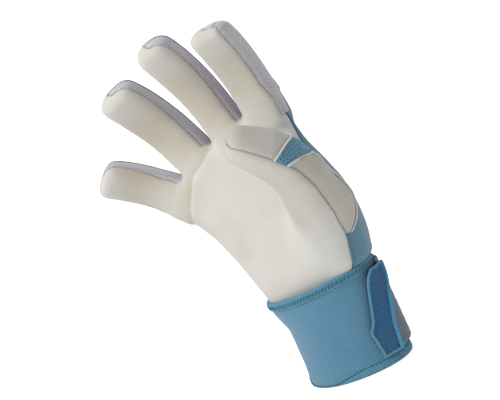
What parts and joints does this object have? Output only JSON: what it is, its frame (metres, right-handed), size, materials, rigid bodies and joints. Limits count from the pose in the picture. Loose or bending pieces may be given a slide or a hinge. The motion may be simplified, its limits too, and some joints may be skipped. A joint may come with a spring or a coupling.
{
  "type": "goalkeeper glove",
  "caption": "Padded right-hand glove for catching balls, with a latex palm, hinged fingers and thumb, mesh gussets and a stretch cuff closed by a peel-open strap.",
  "frame": {"origin": "centre of the cuff's bottom opening, in the plane of the hem", "axes": "+Z from the hem towards the fingers, -Y the way the palm faces, +X the thumb side of this right-hand glove"},
  "size_m": [0.168, 0.1052, 0.2686],
  "materials": {
    "latex_palm": "matte grippy latex foam",
    "backhand_latex": "matte embossed latex",
    "foam": "open-cell foam",
    "air_mesh": "ribbed air mesh",
    "lining": "brushed towelling",
    "cuff_knit": "diagonal rib elastic knit",
    "binding": "overlocked woven tape",
    "strap_elastic": "woven elastic",
    "pull_tab": "ribbed elastic tab",
    "loop": "loop pile",
    "hook": "hook tape",
    "flex_mesh": "perforated mesh",
    "side_knit": "fine stretch knit"
  },
  "bodies": {
    "cuff": {"cuff_knit": "cuff_knit", "cuff_lining": "lining", "cuff_top_binding": "binding", "cuff_hem_binding": "binding", "cuff_loop_patch": "loop", "strap_anchor_seam": "binding"},
    "strap": {"strap_panel": "strap_elastic"},
    "strap_tab": {"strap_tab": "pull_tab", "strap_hook_patch": "hook"},
    "hand": {"palm_latex": "latex_palm", "palm_lining": "lining", "backhand_panel": "backhand_latex", "backhand_foam": "foam", "backhand_lining": "lining", "ulnar_side_panel": "latex_palm", "radial_side_panel": "side_knit"},
    "thumb_base": {"thumb_base_latex": "latex_palm", "thumb_base_pad": "backhand_latex", "thumb_base_side": "latex_palm", "thumb_flex_band": "flex_mesh"},
    "thumb_tip": {"thumb_tip_latex": "latex_palm", "thumb_tip_back": "backhand_latex", "thumb_tip_gusset": "air_mesh"},
    "index_base": {"index_base_latex": "latex_palm", "index_base_back": "backhand_latex", "index_base_gusset": "air_mesh"},
    "index_mid": {"index_mid_latex": "latex_palm", "index_mid_back": "backhand_latex", "index_mid_gusset": "air_mesh"},
    "index_tip": {"index_tip_latex": "latex_palm", "index_tip_back": "backhand_latex", "index_tip_gusset": "air_mesh"},
    "middle_base": {"middle_base_latex": "latex_palm", "middle_base_back": "backhand_latex", "middle_base_gusset": "air_mesh"},
    "middle_mid": {"middle_mid_latex": "latex_palm", "middle_mid_back": "backhand_latex", "middle_mid_gusset": "air_mesh"},
    "middle_tip": {"middle_tip_latex": "latex_palm", "middle_tip_back": "backhand_latex", "middle_tip_gusset": "air_mesh"},
    "ring_base": {"ring_base_latex": "latex_palm", "ring_base_back": "backhand_latex", "ring_base_gusset": "air_mesh"},
    "ring_mid": {"ring_mid_latex": "latex_palm", "ring_mid_back": "backhand_latex", "ring_mid_gusset": "air_mesh"},
    "ring_tip": {"ring_tip_latex": "latex_palm", "ring_tip_back": "backhand_latex", "ring_tip_gusset": "air_mesh"},
    "pinky_base": {"pinky_base_latex": "latex_palm", "pinky_base_back": "backhand_latex", "pinky_base_gusset": "air_mesh"},
    "pinky_mid": {"pinky_mid_latex": "latex_palm", "pinky_mid_back": "backhand_latex", "pinky_mid_gusset": "air_mesh"},
    "pinky_tip": {"pinky_tip_latex": "latex_palm", "pinky_tip_back": "backhand_latex", "pinky_tip_gusset": "air_mesh"}
  },
  "joints": [
    {"name": "wrist_flex", "type": "hinge", "parent": "cuff", "child": "hand", "pos_m": [0, 0, 0.079], "axis": [1, 0, 0], "range_deg": [-25, 25], "stiffness_Nm_per_rad": 0.6},
    {"name": "index_knuckle", "type": "hinge", "parent": "hand", "child": "index_base", "pos_m": [0.01603, -0.004, 0.20072], "axis": [0.9994, 0, 0.0349], "range_deg": [-20, 45], "stiffness_Nm_per_rad": 0.04},
    {"name": "index_mid_hinge", "type": "hinge", "parent": "index_base", "child": "index_mid", "pos_m": [0.01528, -0.00932, 0.22206], "axis": [0.9994, 0, 0.0349], "range_deg": [-10, 45], "stiffness_Nm_per_rad": 0.02},
    {"name": "index_tip_hinge", "type": "hinge", "parent": "index_mid", "child": "index_tip", "pos_m": [0.01465, -0.01982, 0.24023], "axis": [0.9994, 0, 0.0349], "range_deg": [-6, 27], "stiffness_Nm_per_rad": 0.008},
    {"name": "middle_knuckle", "type": "hinge", "parent": "hand", "child": "middle_base", "pos_m": [-0.01455, -0.004, 0.19315], "axis": [0.9903, 0, 0.1392], "range_deg": [-20, 45], "stiffness_Nm_per_rad": 0.04},
    {"name": "middle_mid_hinge", "type": "hinge", "parent": "middle_base", "child": "middle_mid", "pos_m": [-0.01806, -0.01029, 0.21813], "axis": [0.9903, 0, 0.1392], "range_deg": [-10, 50], "stiffness_Nm_per_rad": 0.02},
    {"name": "middle_tip_hinge", "type": "hinge", "parent": "middle_mid", "child": "middle_tip", "pos_m": [-0.02108, -0.02279, 0.23957], "axis": [0.9903, 0, 0.1392], "range_deg": [-6, 30], "stiffness_Nm_per_rad": 0.008},
    {"name": "ring_knuckle", "type": "hinge", "parent": "hand", "child": "ring_base", "pos_m": [-0.04686, -0.004, 0.18416], "axis": [0.9511, 0, 0.309], "range_deg": [-20, 45], "stiffness_Nm_per_rad": 0.04},
    {"name": "ring_mid_hinge", "type": "hinge", "parent": "ring_base", "child": "ring_mid", "pos_m": [-0.05405, -0.00981, 0.2063], "axis": [0.9511, 0, 0.309], "range_deg": [-10, 50], "stiffness_Nm_per_rad": 0.02},
    {"name": "ring_tip_hinge", "type": "hinge", "parent": "ring_mid", "child": "ring_tip", "pos_m": [-0.06021, -0.02131, 0.22525], "axis": [0.9511, 0, 0.309], "range_deg": [-6, 30], "stiffness_Nm_per_rad": 0.008},
    {"name": "pinky_knuckle", "type": "hinge", "parent": "hand", "child": "pinky_base", "pos_m": [-0.07357, -0.004, 0.16208], "axis": [0.6947, 0, 0.7193], "range_deg": [-20, 40], "stiffness_Nm_per_rad": 0.04},
    {"name": "pinky_mid_hinge", "type": "hinge", "parent": "pinky_base", "child": "pinky_mid", "pos_m": [-0.08544, -0.00811, 0.17354], "axis": [0.6947, 0, 0.7193], "range_deg": [-10, 40], "stiffness_Nm_per_rad": 0.02},
    {"name": "pinky_tip_hinge", "type": "hinge", "parent": "pinky_mid", "child": "pinky_tip", "pos_m": [-0.09603, -0.01661, 0.18376], "axis": [0.6947, 0, 0.7193], "range_deg": [-6, 24], "stiffness_Nm_per_rad": 0.008},
    {"name": "thumb_swing", "type": "hinge", "parent": "hand", "child": "thumb_base", "pos_m": [0.02518, -0.008, 0.10329], "axis": [-0.225, 0, 0.9744], "range_deg": [-10, 35], "stiffness_Nm_per_rad": 0.05},
    {"name": "thumb_unbend", "type": "hinge", "parent": "thumb_base", "child": "thumb_tip", "pos_m": [0.03601, -0.03822, 0.15398], "axis": [-0.0297, 0.8558, 0.5165], "range_deg": [-20, 40], "stiffness_Nm_per_rad": 0.02},
    {"name": "strap_open", "type": "hinge", "parent": "cuff", "child": "strap", "pos_m": [-0.0061, 0.03139, 0.045], "axis": [0, 0, 1], "range_deg": [0, 110], "stiffness_Nm_per_rad": 0.01},
    {"name": "tab_peel", "type": "hinge", "parent": "strap", "child": "strap_tab", "pos_m": [0.04409, -0.00581, 0.045], "axis": [0, 0, 1], "range_deg": [0, 100], "stiffness_Nm_per_rad": 0.001}
  ],
  "couplings": [
    {"joint": "index_tip_hinge", "follows": "index_mid_hinge", "ratio": 0.6},
    {"joint": "middle_tip_hinge", "follows": "middle_mid_hinge", "ratio": 0.6},
    {"joint": "ring_tip_hinge", "follows": "ring_mid_hinge", "ratio": 0.6},
    {"joint": "pinky_tip_hinge", "follows": "pinky_mid_hinge", "ratio": 0.6}
  ]
}
